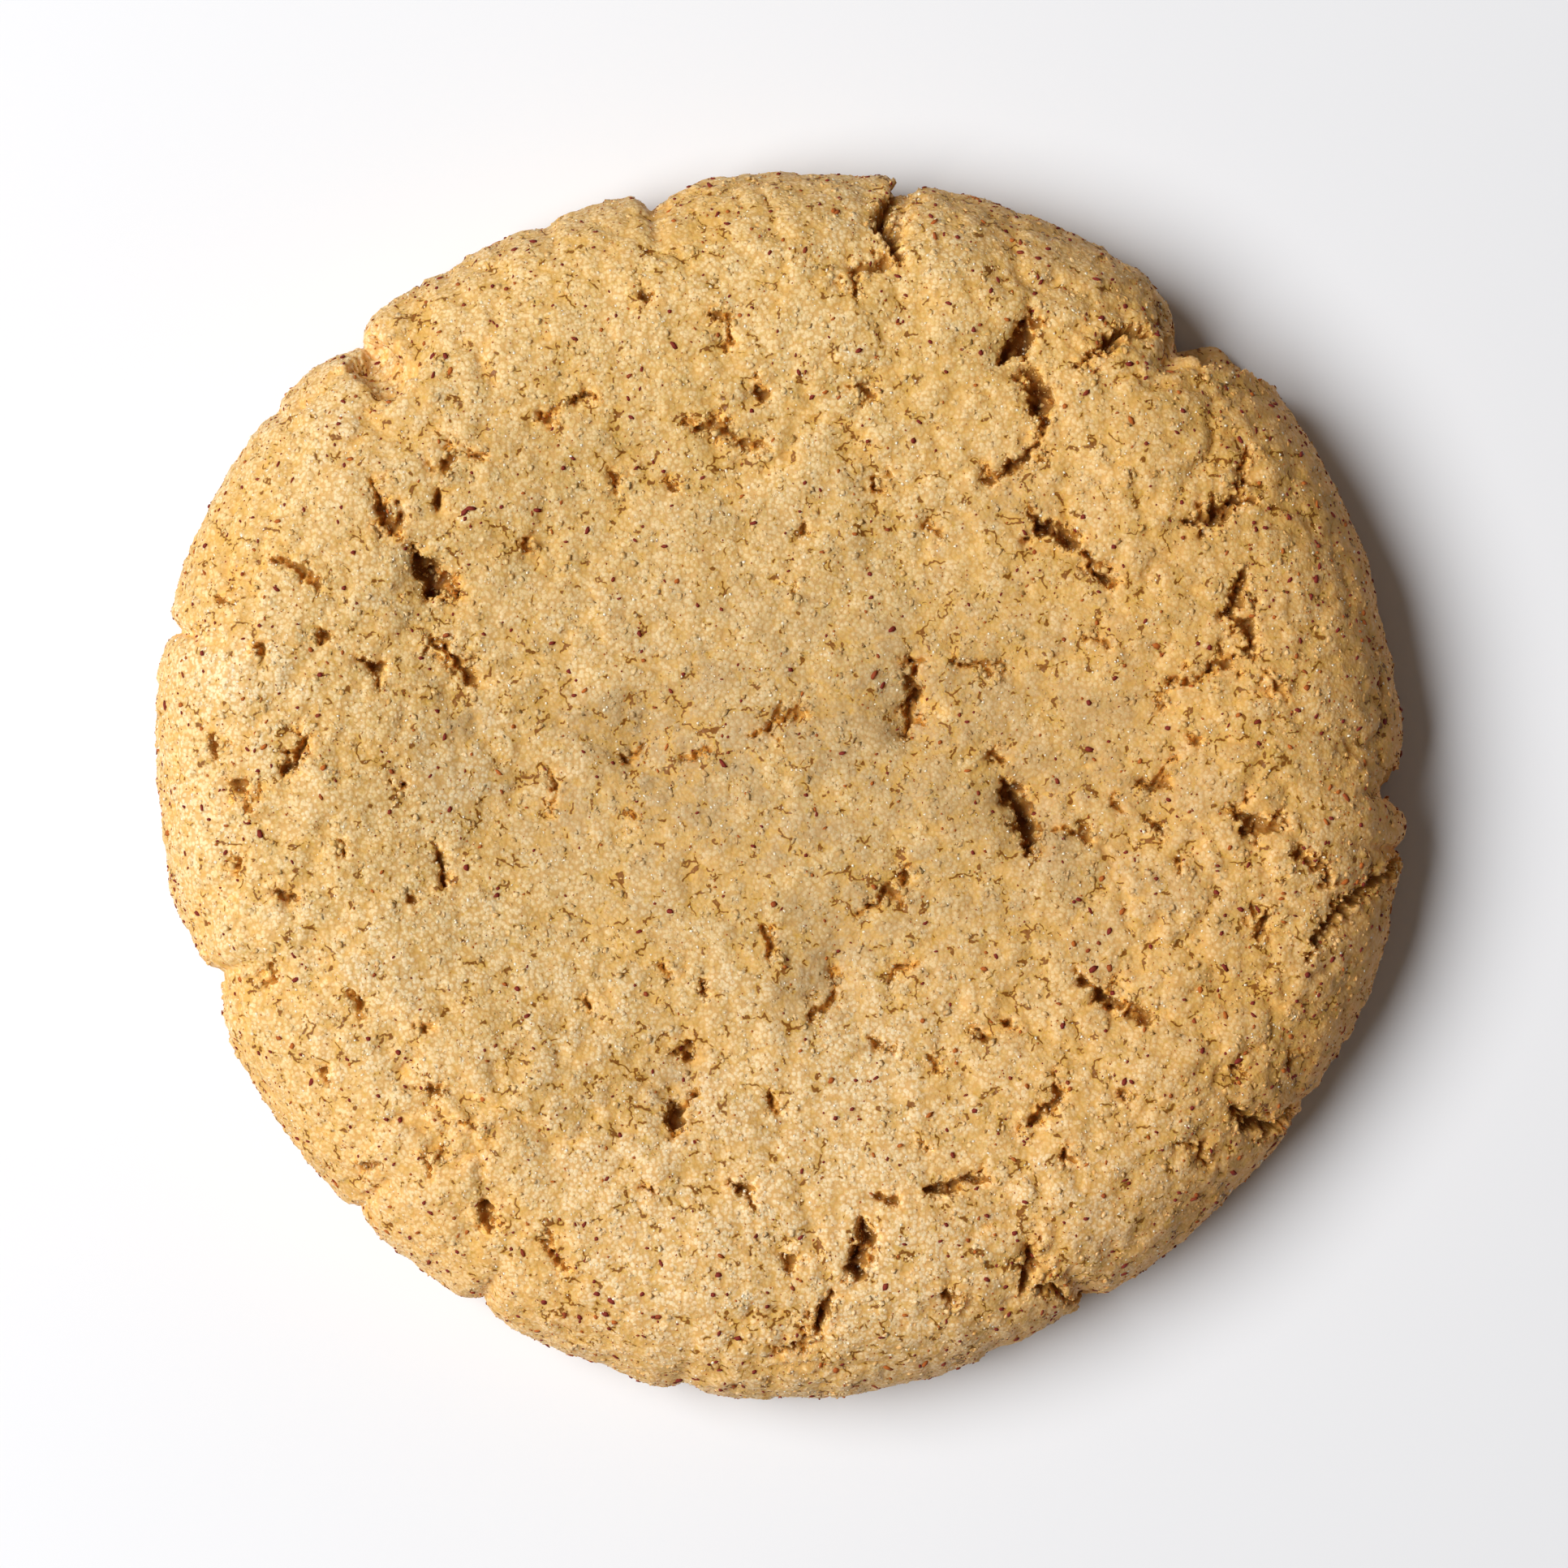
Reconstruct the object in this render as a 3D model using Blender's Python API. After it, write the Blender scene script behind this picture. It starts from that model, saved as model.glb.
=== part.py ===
"""A snickerdoodle: one thick, soft sugar biscuit with a puffed rim, a sunken middle and a torn top.

Metres, +Z up. The origin is the middle of the flat underside. +Y is the top edge of the straight-down reference
view and +X its right edge. Places on the biscuit are given in that view's own units, a column and a row, and
to_plan() turns them into metres.
"""

import math

import bmesh
import bpy
from mathutils import Vector, noise

MM = 0.001

# ---- overall sizes ----
WIDTH_X = 82.0 * MM  # widest, left to right
VIEW_WIDTH = 1530.0  # the same width in view units
UNIT = WIDTH_X / VIEW_WIDTH
VIEW_MIDDLE = (962.0, 968.0)

CROWN = 11.0 * MM  # height of the top before ring, hollows and lumps
RING_RISE = 0.9 * MM  # the puffed ring inside the rim
RING_AT = 0.72  # its place, as a share of the rim's radius
RING_SPREAD = 0.16
SHOULDER = 7.6 * MM  # how far in from the rim the top starts to fall
WAIST_Z = 3.4 * MM  # height of the widest line
TUCK = 2.2 * MM  # how far the foot is drawn in under the widest line
LUMP_RISE = 0.5 * MM
LUMP_ACROSS = 8.0 * MM

# ---- mesh density ----
TOP_CELLS = 39  # squares across the top
SHOULDER_SHARE = 0.72  # of those, the share that lies on the flat of the top
SIDE_LOOPS = 4  # loops from the widest line down to the foot
SIDE_SHARE = 0.22  # width given to the side when it is laid out flat round the top
REFINE_PASSES = (1.0 * MM, 0.1 * MM)  # reach beyond a tear's edge, one value for each halving of the mesh

# The widest line is a circle of this radius, in view units, pushed out or in by a few broad swells:
# angle in degrees anticlockwise from +X, push in view units, spread in degrees.
BASE_RADIUS = 750.0
SWELLS = (
    (38, 27, 25),
    (108, -5, 12),
    (158, 31, 20),
    (228, -8, 24),
    (272, 9, 12),
    (298, -4, 10),
    (345, 18, 14),
)

# Splits in the rim: angle in degrees, depth and half-width in view units.
SPLITS = (
    (46.9, 38, 22),
    (77.8, 22, 20),
    (103.1, 24, 22),
    (113.0, 12, 16),
    (134.1, 38, 22),
    (143.4, 10, 14),
    (165.7, 20, 14),
    (199.6, 22, 30),
    (225.4, 13, 14),
    (240.2, 17, 20),
    (299.6, 20, 20),
    (328.3, 9, 13),
    (353.2, 18, 13),
    (358.7, 27, 22),
)

# Hollows and lumps of the top: column, row, radius in view units, rise in millimetres.
RELIEF = (
    (700, 950, 330, -1.0),
    (800, 925, 46, -0.8),
    (1118, 885, 42, -0.7),
    (650, 965, 90, -0.5),
    (1030, 1200, 60, -0.6),
    (838, 1330, 50, -0.7),
    (1105, 690, 75, -0.5),
    (540, 718, 40, -0.6),
    (1255, 1000, 40, -0.6),
    (1548, 1385, 42, -0.6),
    (1246, 445, 42, -0.6),
    (640, 1300, 90, 0.4),
    (1350, 780, 70, 0.4),
    (1160, 1000, 80, 0.45),
    (1300, 1130, 90, 0.4),
    (1185, 350, 70, 0.5),
    (1400, 560, 85, 0.5),
    (900, 1560, 90, 0.4),
    (1530, 930, 60, 0.5),
    (960, 300, 80, 0.4),
)

# The larger tears in the top: half-width in view units, depth in millimetres, then the bends of its line.
TEARS = (
    (20, 2.8, ((1119, 205), (1098, 290), (1118, 352))),
    (18, 2.4, ((524, 668), (537, 720), (582, 742))),
    (16, 2.4, ((1236, 466), (1259, 420), (1276, 412))),
    (16, 2.2, ((1266, 474), (1272, 533), (1278, 560))),
    (16, 2.2, ((1246, 650), (1310, 688), (1368, 732))),
    (14, 1.8, ((1348, 446), (1387, 418), (1420, 430))),
    (14, 1.8, ((1522, 712), (1509, 768), (1530, 812))),
    (13, 1.6, ((366, 968), (387, 926), (410, 890))),
    (16, 2.2, ((1230, 962), (1267, 1030), (1263, 1060))),
    (15, 1.9, ((1722, 1062), (1657, 1107), (1616, 1166))),
    (15, 1.9, ((603, 1454), (607, 1490), (616, 1520))),
    (14, 1.9, ((1126, 1459), (1174, 1444), (1216, 1435))),
    (20, 2.8, ((1060, 1478), (1054, 1537), (1063, 1564))),
    (14, 1.8, ((1034, 1562), (1018, 1612), (988, 1644))),
    (15, 2.0, ((1510, 1362), (1560, 1386), (1596, 1370))),
    (16, 1.8, ((1284, 1508), (1274, 1540), (1248, 1594))),
)

BODY_COLOUR = (0.62, 0.40, 0.155, 1.0)
BODY_ROUGHNESS = 0.8


def clear_scene():
    for obj in list(bpy.data.objects):
        bpy.data.objects.remove(obj, do_unlink=True)


def to_plan(column, row):
    """Plan position, in metres, of a column and row of the straight-down view."""
    return (column - VIEW_MIDDLE[0]) * UNIT, (VIEW_MIDDLE[1] - row) * UNIT


def degrees_between(a, b):
    return abs((a - b + 180.0) % 360.0 - 180.0)


def whole_radius(angle):
    """Radius of the widest line at an angle in radians, as if the rim had no splits."""
    radius = BASE_RADIUS
    for at, push, spread in SWELLS:
        radius += push * math.exp(-0.5 * (degrees_between(math.degrees(angle), at) / spread) ** 2)
    return radius * UNIT


def split_depth(angle):
    """How far the splits cut into the rim at an angle in radians, and how near the angle is to one."""
    radius = whole_radius(angle)
    cut, nearest = 0.0, math.inf
    for at, depth, half_width in SPLITS:
        off = math.radians(degrees_between(math.degrees(angle), at)) * radius / (half_width * UNIT)
        cut += depth * UNIT * math.exp(-0.5 * (off * 1.6) ** 2)
        nearest = min(nearest, off)
    return cut, nearest


def crown_height(x, y):
    """Height of the top at a plan position, before tears and before it falls away at the shoulder."""
    share = math.hypot(x, y) / whole_radius(math.atan2(y, x))
    z = CROWN + RING_RISE * math.exp(-(((share - RING_AT) / RING_SPREAD) ** 2))
    for column, row, reach, rise in RELIEF:
        px, py = to_plan(column, row)
        z += rise * MM * math.exp(-((x - px) ** 2 + (y - py) ** 2) / (2 * (reach * UNIT * 0.62) ** 2))
    z += LUMP_RISE * noise.noise(Vector((x / LUMP_ACROSS, y / LUMP_ACROSS, 3.7)))
    z += 0.5 * LUMP_RISE * noise.noise(Vector((2.3 * x / LUMP_ACROSS, 2.3 * y / LUMP_ACROSS, 9.1)))
    return z


def tear_at(x, y):
    """Depth of the tears at a plan position, and the distance in metres from the nearest tear's edge."""
    depth, nearest = 0.0, math.inf
    for half_width, depth_mm, line in TEARS:
        points = [to_plan(column, row) for column, row in line]
        last = len(points) - 1
        for i in range(last):
            (ax, ay), (bx, by) = points[i], points[i + 1]
            dx, dy = bx - ax, by - ay
            t = max(0.0, min(1.0, ((x - ax) * dx + (y - ay) * dy) / (dx * dx + dy * dy)))
            off = math.hypot(x - ax - t * dx, y - ay - t * dy)
            along = (i + t) / last
            reach = half_width * UNIT * (0.55 + 0.45 * math.sin(math.pi * (0.1 + 0.8 * along)))
            nearest = min(nearest, off - reach)
            if off < reach:
                fade = math.sin(math.pi * (0.12 + 0.76 * along)) ** 0.6
                depth = max(depth, depth_mm * MM * fade * (1.0 - (off / reach) ** 2))
    return depth, nearest


def on_body(share, angle):
    """Point of the surface. share is 0 at the middle of the top, 1 at the widest line and 1 + SIDE_SHARE at the foot."""
    whole = whole_radius(angle)
    cut = split_depth(angle)[0]
    if share <= 1.0:
        flat = whole - SHOULDER
        if share < SHOULDER_SHARE:
            radius, fall = share / SHOULDER_SHARE * flat, 1.0
        else:
            turn = (share - SHOULDER_SHARE) / (1.0 - SHOULDER_SHARE) * math.pi / 2
            radius, fall = flat + (SHOULDER - cut) * math.sin(turn), math.cos(turn) ** 0.9
        x, y = radius * math.cos(angle), radius * math.sin(angle)
        z = WAIST_Z + (crown_height(x, y) - WAIST_Z) * fall
        return Vector((x, y, z - tear_at(x, y)[0] * min(1.0, fall + 0.2)))
    drop = min(1.0, (share - 1.0) / SIDE_SHARE)
    turn = drop * math.pi / 2
    radius = whole - cut * (1.0 - 0.45 * drop) - TUCK * (1.0 - math.cos(turn))
    return Vector((radius * math.cos(angle), radius * math.sin(angle), WAIST_Z * (1.0 - math.sin(turn) ** 0.9)))


def square_to_disc(x, y):
    """The unit square bent into the unit disc."""
    return x * math.sqrt(1 - y * y / 2), y * math.sqrt(1 - x * x / 2)


def placed(co):
    """The point of the surface for a point of the flat layout."""
    return on_body(math.hypot(co.x, co.y), math.atan2(co.y, co.x))


def lay_out(bm):
    """Top and side laid out flat: a square grid bent into a disc, and loops round it for the side. Returns the foot."""
    bmesh.ops.create_grid(bm, x_segments=TOP_CELLS, y_segments=TOP_CELLS, size=1.0)
    for vert in bm.verts:
        vert.co.x, vert.co.y = square_to_disc(vert.co.x, vert.co.y)
    loop = [edge for edge in bm.edges if edge.is_boundary]
    for step in range(1, SIDE_LOOPS + 1):
        grown = bmesh.ops.extrude_edge_only(bm, edges=loop)["geom"]
        loop = [item for item in grown if isinstance(item, bmesh.types.BMEdge)]
        for vert in {v for edge in loop for v in edge.verts}:
            vert.co *= (1.0 + SIDE_SHARE * step / SIDE_LOOPS) / math.hypot(vert.co.x, vert.co.y)


def refine(bm, reach):
    """Halves the edges that lie within reach of a tear's or a split's edge."""
    chosen = []
    for edge in bm.edges:
        middle = (edge.verts[0].co + edge.verts[1].co) / 2
        share, angle = math.hypot(middle.x, middle.y), math.atan2(middle.y, middle.x)
        place = on_body(share, angle)
        near_tear = share < 1.05 and tear_at(place.x, place.y)[1] < reach
        near_split = share > SHOULDER_SHARE + 0.1 and split_depth(angle)[1] < (1.3 if reach > 0.5 * MM else 0.8)
        if near_tear or near_split:
            chosen.append(edge)
    bmesh.ops.subdivide_edges(bm, edges=chosen, cuts=1, use_grid_fill=True)
    bmesh.ops.triangulate(bm, faces=bm.faces)


def make_body(collection):
    bm = bmesh.new()
    lay_out(bm)
    bmesh.ops.triangulate(bm, faces=bm.faces)
    for reach in REFINE_PASSES:
        refine(bm, reach)
    foot = [edge for edge in bm.edges if edge.is_boundary]
    for vert in bm.verts:
        vert.co = placed(vert.co)
    for vert in {v for edge in foot for v in edge.verts}:
        vert.co.z = 0.0
    bmesh.ops.contextual_create(bm, geom=foot)

    # The origin comes to the middle of the box in plan.
    for axis in range(2):
        values = [vert.co[axis] for vert in bm.verts]
        middle = (min(values) + max(values)) / 2
        for vert in bm.verts:
            vert.co[axis] -= middle
    bmesh.ops.recalc_face_normals(bm, faces=bm.faces)

    mesh = bpy.data.meshes.new("cookie")
    bm.to_mesh(mesh)
    bm.free()
    mesh.shade_smooth()
    body = bpy.data.objects.new("cookie", mesh)
    collection.objects.link(body)
    return body


def baked_dough():
    material = bpy.data.materials.new("baked_dough")
    material.use_nodes = True
    shader = material.node_tree.nodes["Principled BSDF"]
    shader.inputs["Base Color"].default_value = BODY_COLOUR
    shader.inputs["Roughness"].default_value = BODY_ROUGHNESS
    shader.inputs["Metallic"].default_value = 0.0
    material.diffuse_color = BODY_COLOUR
    return material


def main():
    clear_scene()
    parts = bpy.data.collections.new("snickerdoodle")
    bpy.context.scene.collection.children.link(parts)
    make_body(parts).data.materials.append(baked_dough())


main()
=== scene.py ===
import math

import bmesh
import bpy
import numpy as np
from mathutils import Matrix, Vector, geometry, noise


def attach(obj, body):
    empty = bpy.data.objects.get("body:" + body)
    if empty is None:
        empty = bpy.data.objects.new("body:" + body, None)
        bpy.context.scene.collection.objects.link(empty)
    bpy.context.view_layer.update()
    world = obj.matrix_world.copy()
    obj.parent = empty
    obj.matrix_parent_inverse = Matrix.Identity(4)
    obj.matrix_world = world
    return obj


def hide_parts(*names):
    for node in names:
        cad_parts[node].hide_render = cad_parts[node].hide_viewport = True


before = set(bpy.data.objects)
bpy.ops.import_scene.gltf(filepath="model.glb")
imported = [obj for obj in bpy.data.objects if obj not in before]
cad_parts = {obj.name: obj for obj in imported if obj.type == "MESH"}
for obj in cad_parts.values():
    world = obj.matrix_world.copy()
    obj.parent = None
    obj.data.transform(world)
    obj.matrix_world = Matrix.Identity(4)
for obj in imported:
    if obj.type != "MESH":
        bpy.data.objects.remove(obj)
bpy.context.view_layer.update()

# Lengths in this script are millimetres until a mesh is made. Places on the biscuit are columns and rows of the
# straight-down view, which is 1932 units wide.
MM = 0.001
UNIT = 82.0 / 1530.0
MIDDLE = (962.0, 968.0)

# ---------------------------------------------------------------- the form
CROWN = 11.0
RING_RISE, RING_AT, RING_SPREAD = 0.9, 0.72, 0.16
SHOULDER = 7.6
WAIST = 3.4
TUCK = 2.2
SHOULDER_ARC = 12.2  # width of the shoulder when it is laid out flat
SIDE_ARC = 4.8  # and of the side under the widest line

BASE_RADIUS = 750.0
SWELLS = ((38, 27, 25), (108, -5, 12), (158, 31, 20), (228, -8, 24), (272, 9, 12), (298, -4, 10), (345, 18, 14))

# Splits in the rim: degrees, depth in units, then how many degrees each takes up clockwise and anticlockwise of it.
SPLITS = (
    (47.2, 52, 1.5, 3.0),
    (77.8, 20, 0.9, 0.9),
    (102.6, 25, 3.4, 0.9),
    (112.6, 9, 1.0, 1.6),
    (123.0, 7, 0.7, 1.0),
    (133.6, 28, 1.3, 2.6),
    (143.4, 9, 0.6, 0.9),
    (165.7, 22, 0.9, 1.0),
    (198.6, 24, 1.1, 3.6),
    (225.3, 12, 0.8, 0.9),
    (240.1, 18, 1.3, 1.2),
    (261.0, 7, 0.8, 0.8),
    (291.0, 8, 2.0, 2.2),
    (300.6, 18, 0.7, 1.7),
    (329.0, 9, 0.7, 1.6),
    (353.9, 15, 0.6, 0.7),
    (359.1, 26, 1.2, 1.4),
)

# Ledges: how far the dough outside the line, on its left, sits lower, in millimetres, then the bends of the line.
LEDGES = (
    (1.8, (1560, 480), (1524, 463), (1476, 456), (1446, 448), (1436, 424)),
    (1.2, (430, 462), (452, 440), (470, 418)),
    (1.3, (1722, 1000), (1702, 990), (1690, 975)),
    (1.1, (262, 1180), (282, 1204), (284, 1226)),
)

# Hollows and lumps of the top: column, row, radius in units, rise in millimetres.
RELIEF = (
    (700, 950, 330, -1.0),
    (800, 925, 46, -0.8),
    (1118, 885, 42, -0.7),
    (650, 965, 90, -0.5),
    (1030, 1200, 60, -0.6),
    (838, 1330, 50, -0.7),
    (1105, 690, 75, -0.5),
    (540, 718, 40, -0.6),
    (1255, 1000, 40, -0.6),
    (1548, 1385, 42, -0.6),
    (1246, 445, 42, -0.6),
    (640, 1300, 90, 0.4),
    (1350, 780, 70, 0.4),
    (1160, 1000, 80, 0.45),
    (1300, 1130, 90, 0.4),
    (1185, 350, 70, 0.5),
    (1400, 560, 85, 0.5),
    (900, 1560, 90, 0.4),
    (1530, 930, 60, 0.5),
    (960, 300, 80, 0.4),
)

# Tears: half-width in units, depth in millimetres, then the bends of the line.
TEARS = (
    (14, 3.0, (1119, 200), (1115, 238), (1096, 270), (1085, 292), (1104, 335)),
    (5, 1.1, (1105, 335), (1080, 348), (1050, 352), (1055, 378)),
    (12, 3.4, (1236, 462), (1244, 444), (1259, 422), (1270, 418)),
    (11, 3.0, (1262, 474), (1275, 490), (1272, 518), (1278, 548)),
    (6, 2.0, (1278, 548), (1262, 575), (1235, 600), (1206, 606)),
    (10, 3.0, (1260, 650), (1277, 658), (1295, 668), (1320, 685)),
    (6, 2.0, (1320, 685), (1338, 708), (1364, 733)),
    (7, 2.2, (1531, 628), (1505, 630), (1484, 645), (1455, 655)),
    (4, 1.4, (1531, 559), (1520, 590), (1515, 625)),
    (8, 2.2, (1520, 716), (1507, 767), (1522, 785), (1528, 805)),
    (4, 1.4, (1528, 800), (1487, 829), (1460, 838), (1432, 848), (1422, 870)),
    (3, 0.8, (1528, 818), (1550, 838), (1568, 863)),
    (3, 1.0, (1324, 785), (1340, 798), (1358, 807)),
    (4, 1.4, (1165, 822), (1202, 826), (1228, 826)),
    (7, 2.2, (1137, 821), (1121, 835), (1122, 870), (1119, 905)),
    (10, 3.0, (1232, 968), (1250, 985), (1256, 1005), (1264, 1028), (1262, 1052)),
    (3, 1.2, (1213, 934), (1230, 941)),
    (4, 1.2, (1290, 1026), (1310, 1026), (1330, 1030)),
    (6, 1.8, (1400, 1020), (1418, 1024)),
    (7, 2.0, (1502, 1000), (1517, 1010), (1535, 1022), (1568, 1018)),
    (5, 1.6, (1575, 1050), (1612, 1068), (1625, 1090)),
    (9, 1.8, (1720, 1062), (1690, 1088), (1660, 1104), (1620, 1140), (1600, 1172)),
    (5, 1.4, (1556, 1115), (1548, 1130), (1540, 1152)),
    (7, 2.2, (1322, 1205), (1339, 1214), (1352, 1228), (1380, 1235)),
    (5, 1.6, (1380, 1235), (1395, 1246), (1410, 1258)),
    (3, 1.2, (1439, 1055), (1440, 1072)),
    (4, 1.2, (1365, 985), (1368, 998)),
    (4, 1.3, (1395, 975), (1413, 968), (1428, 945), (1435, 935)),
    (3, 1.1, (1458, 905), (1465, 920)),
    (8, 2.4, (1412, 424), (1387, 420), (1365, 432), (1345, 448)),
    (5, 1.6, (1345, 448), (1318, 468)),
    (13, 3.4, (530, 690), (535, 711), (545, 728), (572, 735)),
    (5, 1.8, (474, 605), (484, 625), (496, 652), (512, 676)),
    (6, 1.6, (549, 618), (553, 634)),
    (4, 1.4, (590, 580), (606, 576)),
    (4, 1.2, (560, 595), (568, 570), (572, 560)),
    (6, 1.6, (720, 505), (740, 500)),
    (4, 1.2, (700, 518), (685, 532), (668, 536)),
    (5, 1.4, (658, 676), (666, 690)),
    (4, 1.4, (352, 700), (372, 703), (395, 715), (412, 728)),
    (4, 1.0, (284, 742), (296, 754)),
    (6, 2.0, (411, 785), (415, 800)),
    (4, 1.2, (336, 800), (342, 814)),
    (8, 2.2, (462, 826), (478, 830), (492, 832)),
    (5, 1.6, (548, 795), (566, 812), (580, 826), (594, 850)),
    (7, 2.0, (404, 905), (394, 918), (376, 938), (372, 962)),
    (6, 1.6, (300, 966), (322, 970)),
    (5, 1.4, (322, 985), (330, 1002)),
    (5, 1.4, (282, 908), (286, 935)),
    (4, 1.2, (498, 970), (510, 976)),
    (3, 1.0, (306, 1055), (316, 1080)),
    (6, 1.8, (363, 1096), (378, 1104)),
    (3, 1.0, (432, 1040), (440, 1055)),
    (4, 1.4, (552, 1050), (560, 1075), (563, 1098)),
    (4, 1.2, (516, 1104), (532, 1108)),
    (5, 1.4, (352, 1188), (352, 1204), (340, 1214)),
    (5, 1.4, (446, 1222), (464, 1236)),
    (3, 1.0, (528, 1255), (540, 1268)),
    (6, 1.4, (768, 932), (786, 932)),
    (4, 1.1, (848, 936), (865, 934), (880, 930)),
    (4, 1.2, (930, 909), (949, 898), (968, 890), (990, 872)),
    (3, 1.0, (684, 950), (692, 968), (696, 985)),
    (3, 1.0, (783, 1004), (792, 1014)),
    (4, 1.3, (1113, 1060), (1112, 1085), (1095, 1100), (1062, 1118)),
    (3, 1.1, (870, 1205), (873, 1222)),
    (4, 1.2, (944, 1138), (948, 1155), (953, 1180)),
    (4, 1.2, (1028, 1190), (1032, 1210), (1018, 1238), (995, 1246)),
    (4, 1.2, (1095, 1200), (1110, 1190), (1130, 1180)),
    (3, 1.0, (728, 1225), (733, 1245)),
    (3, 1.0, (822, 1180), (825, 1200)),
    (3, 1.0, (975, 726), (984, 740)),
    (5, 1.4, (857, 538), (870, 534), (885, 536), (908, 549)),
    (6, 1.6, (922, 561), (945, 565)),
    (4, 1.2, (896, 425), (902, 445)),
    (4, 1.2, (872, 400), (886, 408), (900, 412)),
    (4, 1.0, (785, 384), (800, 380), (815, 384)),
    (4, 1.2, (1050, 492), (1064, 496), (1075, 506)),
    (5, 1.5, (937, 495), (942, 512)),
    (3, 1.0, (1072, 605), (1090, 618)),
    (3, 1.0, (1140, 658), (1156, 674)),
    (3, 0.9, (985, 660), (994, 672)),
    (3, 0.9, (828, 605), (838, 618)),
    (3, 0.9, (755, 592), (770, 600)),
    (7, 2.2, (860, 1278), (852, 1289), (848, 1302)),
    (6, 2.0, (858, 1336), (848, 1348), (843, 1370), (836, 1388)),
    (4, 1.3, (1065, 1276), (1082, 1280), (1098, 1281)),
    (5, 1.4, (953, 1340), (962, 1356)),
    (5, 1.4, (905, 1446), (920, 1450), (935, 1456)),
    (3, 1.0, (800, 1452), (815, 1458)),
    (8, 2.4, (1134, 1459), (1152, 1456), (1171, 1448), (1212, 1437)),
    (6, 1.6, (1085, 1464), (1100, 1468)),
    (13, 3.4, (1062, 1492), (1063, 1510), (1058, 1530), (1052, 1548), (1066, 1556)),
    (7, 2.2, (1024, 1590), (1015, 1607), (1010, 1628), (995, 1640)),
    (5, 1.6, (995, 1640), (975, 1650), (965, 1662)),
    (5, 1.4, (970, 1536), (978, 1552)),
    (6, 1.6, (1160, 1580), (1182, 1588)),
    (3, 1.0, (1128, 1395), (1140, 1404)),
    (3, 1.0, (1136, 1294), (1146, 1306)),
    (5, 1.4, (712, 1556), (690, 1532), (672, 1518)),
    (9, 2.2, (605, 1470), (608, 1490), (614, 1508)),
    (5, 1.5, (456, 1425), (465, 1440)),
    (4, 1.3, (536, 1418), (550, 1432)),
    (4, 1.3, (580, 1370), (594, 1378)),
    (4, 1.3, (543, 1330), (556, 1344)),
    (4, 1.2, (403, 1312), (414, 1324)),
    (5, 1.5, (1574, 1292), (1584, 1308)),
    (4, 1.3, (1505, 1310), (1528, 1320)),
    (4, 1.4, (1372, 1336), (1378, 1352)),
    (5, 1.6, (1290, 1310), (1293, 1330), (1285, 1350), (1256, 1380)),
    (4, 1.4, (1298, 1408), (1310, 1422)),
    (4, 1.2, (1226, 1254), (1244, 1262)),
    (4, 1.1, (1195, 1268), (1210, 1274)),
    (8, 2.0, (1276, 1518), (1274, 1540), (1262, 1562), (1250, 1585)),
    (6, 1.8, (1275, 1578), (1302, 1588), (1332, 1600)),
    (8, 2.2, (1510, 1366), (1535, 1385), (1560, 1384), (1591, 1370)),
    (5, 1.4, (1445, 1396), (1465, 1410), (1483, 1428)),
)

# Painted shade: darker patches in the hollows, and broad ones across the middle and right: column, row, radius in
# units, strength.
SHADE_PATCHES = (
    (900, 940, 300, 0.76),
    (1300, 980, 250, 0.74),
    (540, 550, 170, 0.24),
    (780, 900, 48, 0.9),
    (850, 975, 52, 0.9),
    (690, 1000, 40, 0.8),
    (575, 920, 36, 0.8),
    (1112, 880, 46, 1.0),
    (1240, 620, 34, 0.8),
    (1030, 1150, 40, 0.9),
    (1000, 1225, 34, 0.8),
    (835, 1335, 38, 0.8),
    (960, 905, 30, 0.7),
    (1262, 1020, 34, 0.7),
)

# Broad paler and browner patches, partly baking and partly painted light and shade: paler at the lit left rim and
# towards the bottom, browner on the right away from the light. Column, row, radius in units, paler or browner.
LIGHT_AND_BAKE_PATCHES = (
    (270, 960, 170, 0.22),
    (960, 1560, 280, 0.50),
    (1400, 1420, 250, 0.08),
    (640, 1250, 200, 0.06),
    (1400, 900, 260, -0.22),
    (1480, 560, 200, -0.14),
    (900, 620, 230, -0.08),
)

# ---------------------------------------------------------------- mesh density
COARSE = 0.353  # spacing of the points on the top and shoulder
FINE = 0.135  # spacing in and beside a tear
FINE_REACH = 0.15  # how far beside it
SIDE = 0.50  # spacing on the side under the widest line
UNDER = 1.3  # spacing on the underside


def to_plan(column, row):
    return np.array(((column - MIDDLE[0]) * UNIT, (MIDDLE[1] - row) * UNIT))


def bump(value, spread):
    return np.exp(-0.5 * (value / spread) ** 2)


def field(points, size, seed, octaves=1, rough=0.5):
    """Noise from about -1 to 1 at each point, size millimetres across."""
    total, scale, weight = np.zeros(len(points)), 1.0 / size, 1.0
    for octave in range(octaves):
        q = (points * scale + (seed * 7.31, seed * 3.17, seed * 5.71 + octave * 11.3)).tolist()
        total += weight * np.fromiter((noise.noise(p) for p in q), float, len(q))
        scale *= 2.1
        weight *= rough
    return total


def flat3(xy, z=0.0):
    return np.column_stack((xy, np.full(len(xy), z)))


def whole_radius(angle):
    radius = np.full_like(angle, BASE_RADIUS)
    for at, push, spread in SWELLS:
        radius += push * bump((np.degrees(angle) - at + 180.0) % 360.0 - 180.0, spread)
    return radius * UNIT


def split_depth(angle):
    cut = np.zeros_like(angle)
    for at, depth, before, after in SPLITS:
        off = (np.degrees(angle) - at + 180.0) % 360.0 - 180.0
        off = np.where(off < 0, -off / before, off / after)
        cut += depth * UNIT * np.exp(-np.abs(off * 1.2) ** 1.35)
    return cut


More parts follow.
